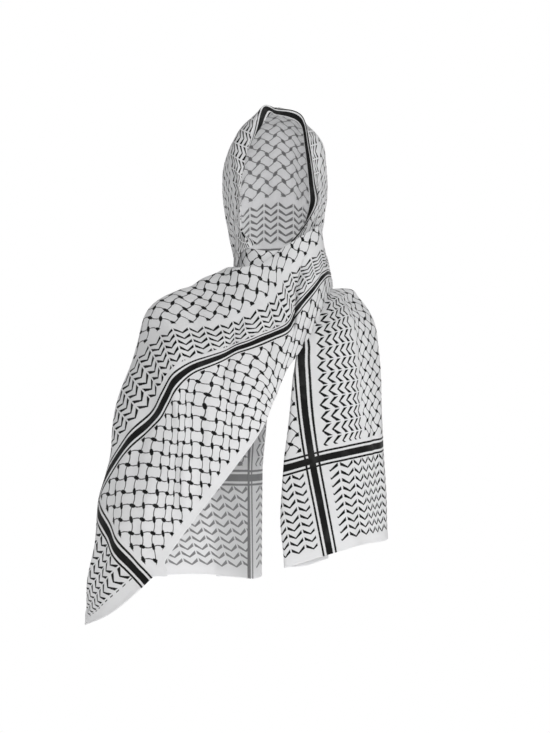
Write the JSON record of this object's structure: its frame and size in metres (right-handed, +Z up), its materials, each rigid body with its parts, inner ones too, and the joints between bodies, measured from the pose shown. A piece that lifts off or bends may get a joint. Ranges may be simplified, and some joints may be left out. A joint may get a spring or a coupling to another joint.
{
  "type": "chiffon hijab",
  "caption": "Printed chiffon headscarf wound as an open-faced hood, with one tail drawn across the chest and over the shoulder and the other hanging over the arm.",
  "frame": {"origin": "the crown of the head inside the hood, where the wearer holds the garment up", "axes": "+Z up, -Y the way the face opening looks, +X to the right of someone who faces it"},
  "size_m": [0.5481, 0.2627, 0.9264],
  "materials": {
    "cloth": "matt white chiffon with black print"
  },
  "bodies": {
    "root": {"hood": "cloth", "hood_border": "cloth", "under_chin": "cloth", "left_tail": "cloth", "left_tail_turn": "cloth", "right_tail": "cloth"}
  },
  "joints": []
}
